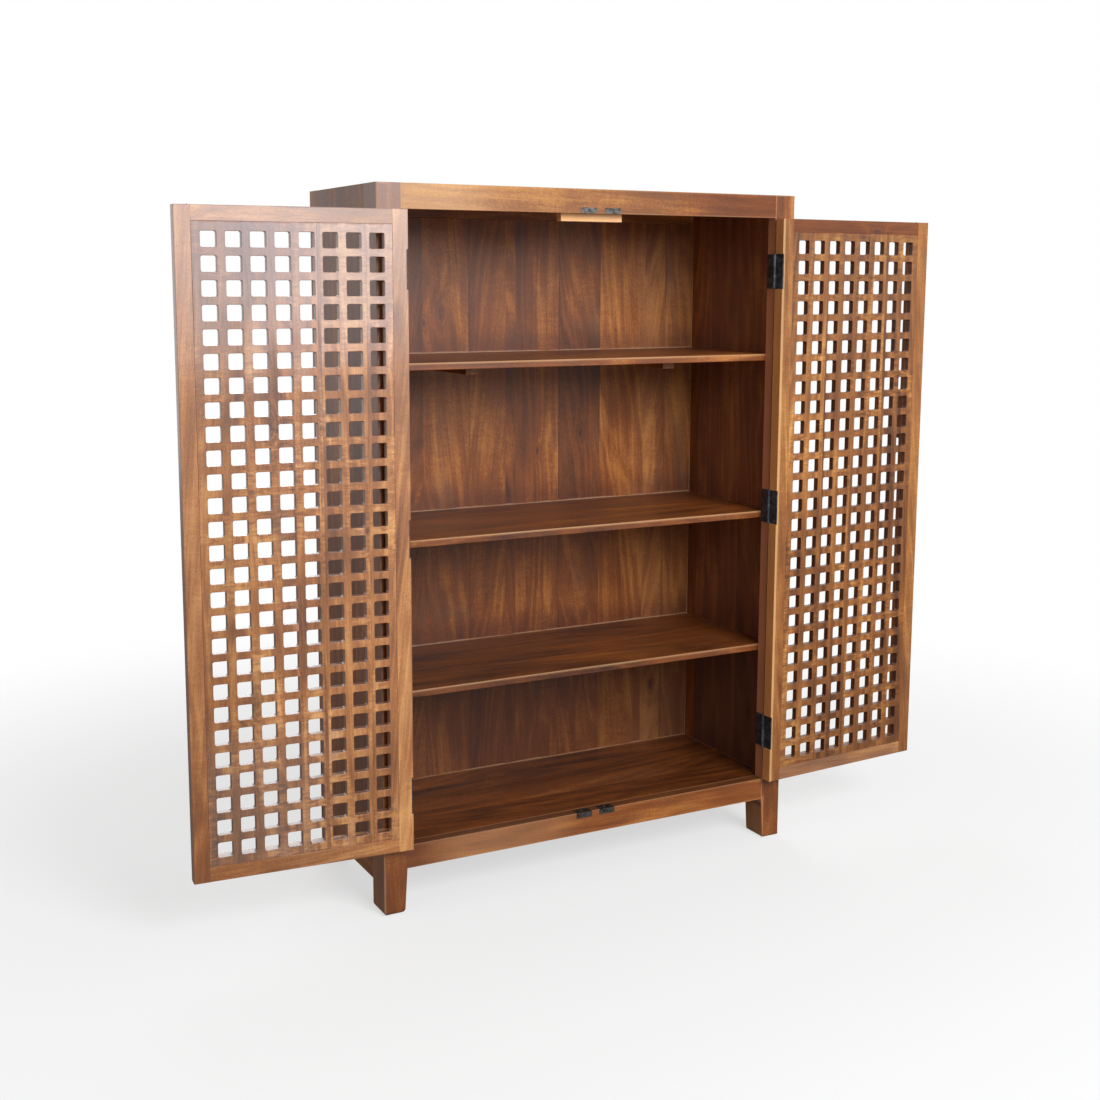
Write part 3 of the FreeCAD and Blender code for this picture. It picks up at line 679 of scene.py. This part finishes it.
# The doors: stiles and rails round a board of glued strips with square holes.
lattice = {
    "columns": 8,
    "rows": 27,
    "columnInset": 0.0318,  # from the board's edge to the middle of the first hole
    "rowInset": 0.0329,
    "hole": 0.0300,
    "corner": 0.0035,
    "cornerSteps": 3,
    "turned": 1.0,          # radians: any edge of a hole turns by more
    "inMiddle": 0.001,      # how far off its hole's middle the middle of a face may be
}


def holesOf(name):
    # the first hole's middle and the pitch along each axis
    low, high = reach(name)
    pitchX = (high["x"] - low["x"] - 2 * lattice["columnInset"]) / (lattice["columns"] - 1)
    pitchZ = (high["z"] - low["z"] - 2 * lattice["rowInset"]) / (lattice["rows"] - 1)
    return {"x": (low["x"] + lattice["columnInset"], pitchX), "z": (low["z"] + lattice["rowInset"], pitchZ),
            "half": lattice["hole"] / 2}


def nearHole(value, first, pitch):
    # the number of the nearest hole, and how far off its middle is
    turn = (value - first) / pitch
    return round(turn), abs(turn - round(turn)) * pitch


def latticeBoard(name, finish):
    # one face, scored along every hole's sides, its holes lifted out, then given its thickness
    low, high = reach(name)
    holes = holesOf(name)
    mesh = bmesh.new()
    corners = [(low["x"], low["z"]), (high["x"], low["z"]), (high["x"], high["z"]), (low["x"], high["z"])]
    mesh.faces.new([mesh.verts.new((x, low["y"], z)) for x, z in corners])
    for letter, normal, count in (("x", (1, 0, 0), lattice["columns"]), ("z", (0, 0, 1), lattice["rows"])):
        first, pitch = holes[letter]
        for order in range(count):
            for side in (-1, 1):
                place = first + order * pitch + side * holes["half"]
                bmesh.ops.bisect_plane(mesh, geom=mesh.verts[:] + mesh.edges[:] + mesh.faces[:],
                                       dist=easing["weld"], plane_co=[place * part for part in normal],
                                       plane_no=normal)
    inHole = []
    for face in mesh.faces:
        middle = face.calc_center_median()
        column, offX = nearHole(middle.x, *holes["x"])
        row, offZ = nearHole(middle.z, *holes["z"])
        if (max(offX, offZ) < lattice["inMiddle"]
                and 0 <= column < lattice["columns"] and 0 <= row < lattice["rows"]):
            inHole.append(face)
    bmesh.ops.delete(mesh, geom=inHole, context="FACES")
    raised = bmesh.ops.extrude_face_region(mesh, geom=mesh.faces[:], use_keep_orig=True)
    bmesh.ops.translate(mesh, vec=(0, high["y"] - low["y"], 0),
                        verts=[item for item in raised["geom"] if isinstance(item, bmesh.types.BMVert)])
    bmesh.ops.recalc_face_normals(mesh, faces=mesh.faces)
    hollow = [edge for edge in mesh.edges if edge.calc_face_angle_signed(0.0) < -lattice["turned"]]
    rounded(mesh, hollow, lattice["corner"], lattice["cornerSteps"], smooth=False)
    sharp = [edge for edge in mesh.edges if edge.calc_face_angle_signed(0.0) > lattice["turned"]]
    rounded(mesh, sharp, easing["door"], easing["steps"])
    hung = hang[bodyOf[name]]
    mesh.transform(Matrix.Translation(hung["pin"]) @ Matrix.Rotation(hung["turn"], 4, "Z"))
    piece = standsFor(name, mesh, finish)
    print(name, len(piece.data.polygons), "faces")


doorFigure = {"fibre": 0.42, "streak": 0.5, "figure": 0.4,
              "worn": (104, 54, 34), "wear": 0.35, "rubWidth": 0.0022}
doorWood = {
    "hinge_stile": {"grain": "zxy", "planks": [(0.0, 0.56)]},
    "free_stile": {"grain": "zxy"},
    "bottom_rail": {"grain": "xzy", "planks": [(0.0, 0.52)]},
    "top_rail": {"grain": "xzy", "planks": [(0.0, 0.54)], "slant": 0.02},
    "lattice": {"grain": "zxy", "mottle": 0.38, "curl": 0.42, "figure": 0.48, "streak": 0.42, "fibre": 0.46,
                "lineShade": 0.2},
    "pull": {"grain": "zxy", "stain": caseStain, "planks": [(0.0, 0.45)]},
}
sideLook = {
    "left": {"coat": 0.8, "seed": 0.0},
    "right": {"coat": 0.25, "seed": 0.53},
}
partLook = {
    "left_lattice": {
        "planks": [(0.0, 0.40), (0.24, 0.40), (0.48, 0.46), (0.61, 0.40), (0.625, 0.53), (0.86, 0.49)],
        "smoke": 0.6, "smokeColour": (90, 52, 38), "eye": 0.3,
        "knots": [(0.50, -0.3165, 0.018, 1.0), (1.04, -0.2805, 0.012, 1.0)]},
    "right_lattice": {"planks": [(0.0, 0.36), (0.27, 0.35), (0.5, 0.39), (0.74, 0.38)], "smoke": 0.1},
    "right_top_rail": {"knots": [(0.2855, 1.424, 0.006, 1.2)]},
    "right_hinge_stile": {"wear": 0.05, "planks": [(0.0, 0.52)]},
    "right_free_stile": {"planks": [(0.0, 0.54)]},
}
partWashes = {  # x is metres from the hinge's pin
    # painted sheen: the upper left door washed paler and greyer
    "left": [lightened("z", 0.95, 1.45, (98, 96, 98), broken=0.8)],
    # painted shade: the free stile darker towards the bottom
    "left_free_stile": [deepened("z", 1.15, 0.5, (216, 204, 190)),
                        hazed("x", -0.4460, -0.4475, (96, 40, 24), 0.6)],
    # painted shade: darker towards the free end
    "left_bottom_rail": [deepened("x", -0.05, -0.35, (222, 212, 200))],
    # painted shade: darker towards the hinge end, taking down the sheen there
    "left_top_rail": [deepened("x", -0.33, -0.07, (222, 211, 192))],
    # painted shade: the lattice darker towards its free edge and towards the bottom
    "left_lattice": [deepened("x", -0.10, -0.36, (208, 200, 196), side=("z", 1.26, 1.36)),
                     deepened("x", -0.24, -0.36, (236, 232, 216), side=("z", 1.36, 1.26)),
                     deepened("z", 0.48, 0.30, (232, 230, 230)),
                     lightened("z", 0.50, 0.33, (30, 50, 52), side=("x", -0.14, -0.24)),
                     # painted sheen: paler, greyer and pinker towards the top
                     lightened("z", 0.95, 1.36, (72, 71, 78), broken=2.0),
                     hazed("z", 1.15, 1.42, (126, 98, 94), 0.35, broken=2.4)],
    # painted shade: darker towards the top
    "left_hinge_stile": [deepened("z", 0.6, 1.3, (248, 245, 236))],
    # painted shade over the whole rail, which stands under the case's top rail
    "right_top_rail": [deepened("x", -0.1, 0.0, (178, 142, 76))],
    "right_bottom_rail": [lightened("x", -0.1, 0.0, (56, 58, 58), 0.9)],
    # painted shade: darker towards the top and towards the bottom
    "right_lattice": [hazed("z", 1.0, 1.4, (104, 68, 40), 0.3), deepened("z", 0.46, 0.28, (228, 226, 228))],
    # a pale band towards the hinge edge: wear, with a painted highlight on the arris
    "right_hinge_stile": [hazed("x", 0.0100, 0.0012, (246, 204, 144), 0.45, broken=0.4),
                          # painted light on the hinge edge's face, which stands in shade
                          lightened("x", 0.0010, -0.0004, (128, 50, 26)),
                          deepened("x", 0.0010, -0.0004, (248, 222, 199)),
                          # painted shade: darker towards the top
                          deepened("z", 0.8, 1.3, (238, 238, 238))],
}
for side in ("left", "right"):
    for order, (part, changes) in enumerate(doorWood.items()):
        name = side + "_" + part
        look = {"stain": doorStain[side], **doorFigure, **changes, **partLook.get(name, {}),
                "coat": sideLook[side]["coat"], "seed": (order * 0.29 + sideLook[side]["seed"]) % 1.0,
                "washes": partWashes.get(side, []) + partWashes.get(name, [])}
        if part == "lattice":
            look["holes"] = holesOf(name)
            latticeBoard(name, woodFinish(name, look))
        else:
            dress(name, easing["door"], woodFinish(name, look))
print("doors dressed")

# Metal: black hinges, worn plates and bright screws.
ironwork = {
    "black_steel": {"colour": (34, 37, 42), "rubbed": (104, 110, 118), "share": 0.42,
                    "metallic": 0.25, "rough": 0.46},
    "plate_steel": {"colour": (96, 92, 88), "rubbed": (34, 31, 29), "share": 0.9,
                    "metallic": 0.9, "rough": 0.40},
    "screw": {"colour": (66, 66, 68), "rubbed": (122, 120, 116), "share": 0.5,
              "metallic": 0.8, "rough": 0.36},
}
metalNoises = {"cloud": ((90.0, 90.0, 90.0), 4.0, 0.6), "grit": ((900.0, 900.0, 900.0), 2.0, 0.6)}
metalBump = {"Strength": 0.25, "Distance": 0.0002}


def metalFinish(metal):
    look = ironwork[metal]
    bench = Bench(metal + "_finish")
    spot = bench.add("ShaderNodeTexCoord", output="Object")
    cloud, grit = [bench.noise(spot, *kind) for kind in metalNoises.values()]
    rubbed = (cloud * 0.7 + grit * 0.3).between(0.44, 0.62)
    colour = bench.mix(rubbed * look["share"], paint(*look["colour"]), paint(*look["rubbed"]))
    rough = look["rough"] + (cloud - 0.5) * 0.2 + (grit - 0.5) * 0.15
    bump = bench.add("ShaderNodeBump", {}, {**metalBump, "Height": grit})
    return bench.finish(bench.add("ShaderNodeBsdfPrincipled", {}, {
        "Base Color": colour, "Metallic": look["metallic"], "Roughness": rough, "Normal": bump}))


metals = {metal: metalFinish(metal) for metal in ironwork}
metalNodes = ["top_striking_plates", "low_striking_plates", "top_plate_screws", "low_plate_screws"]
for side in ("left", "right"):
    metalNodes += [side + "_" + part for part in ("frame_leaves", "hinge_pins", "frame_screws", "door_leaves",
                                                  "door_screws", "ball_catches", "catch_balls")]
for name in metalNodes:
    nodes[name].data.materials.clear()
    nodes[name].data.materials.append(metals["screw" if name.endswith("_screws") else slotOf[name]])
print("metal dressed")

# Painted shade: a dark black-steel disc just proud of the rail's front stands for the rail's bore, seen dark
# through the hole in each striking plate's lip.
boreShadow = {
    "across": 0.029,          # from the middle of the case
    "levels": {"low": 0.141, "top": 1.456},
    "face": -0.1781,          # the rail's front
    "radius": 0.0034,
    "proud": 0.0002,
    "deep": 0.0010,
    "sides": 24,
}


# a dark disc of painted shade where the bore is seen
def plateBoreShadow(name, side, level):
    mesh = bmesh.new()
    bmesh.ops.create_cone(mesh, cap_ends=True, segments=boreShadow["sides"], radius1=boreShadow["radius"],
                          radius2=boreShadow["radius"], depth=boreShadow["deep"])
    middle = (side * boreShadow["across"], boreShadow["face"] - boreShadow["proud"] + boreShadow["deep"] / 2, level)
    mesh.transform(Matrix.Translation(middle) @ Matrix.Rotation(math.radians(90), 4, "X"))
    piece = shaped(name, mesh, metals["black_steel"])
    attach(piece, "case")


for word, level in boreShadow["levels"].items():
    plateBoreShadow(word + "_left_recess", -1, level)
    plateBoreShadow(word + "_right_recess", 1, level)
print("bore shadows placed")
